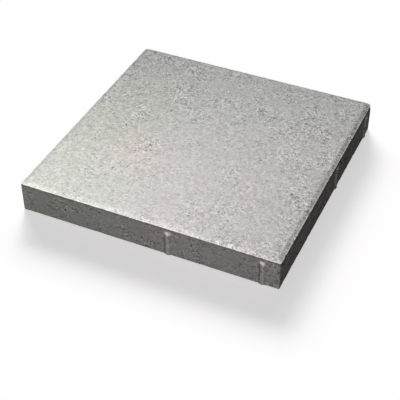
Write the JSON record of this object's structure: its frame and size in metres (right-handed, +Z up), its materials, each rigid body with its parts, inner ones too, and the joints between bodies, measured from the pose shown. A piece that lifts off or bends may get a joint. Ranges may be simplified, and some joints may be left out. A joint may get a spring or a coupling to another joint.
{
  "type": "concrete paving slab",
  "caption": "Square concrete paving slab with a shallow bevelled rim, rounded upright corners and spacer ribs on its sides.",
  "frame": {"origin": "middle of the underside, where the slab lies on its bed", "axes": "+Z up through the walking face, +X and +Y square to two sides of the slab"},
  "size_m": [0.402, 0.402, 0.05],
  "materials": {
    "concrete": "matte"
  },
  "bodies": {
    "root": {"paving_slab": "concrete"}
  },
  "joints": []
}
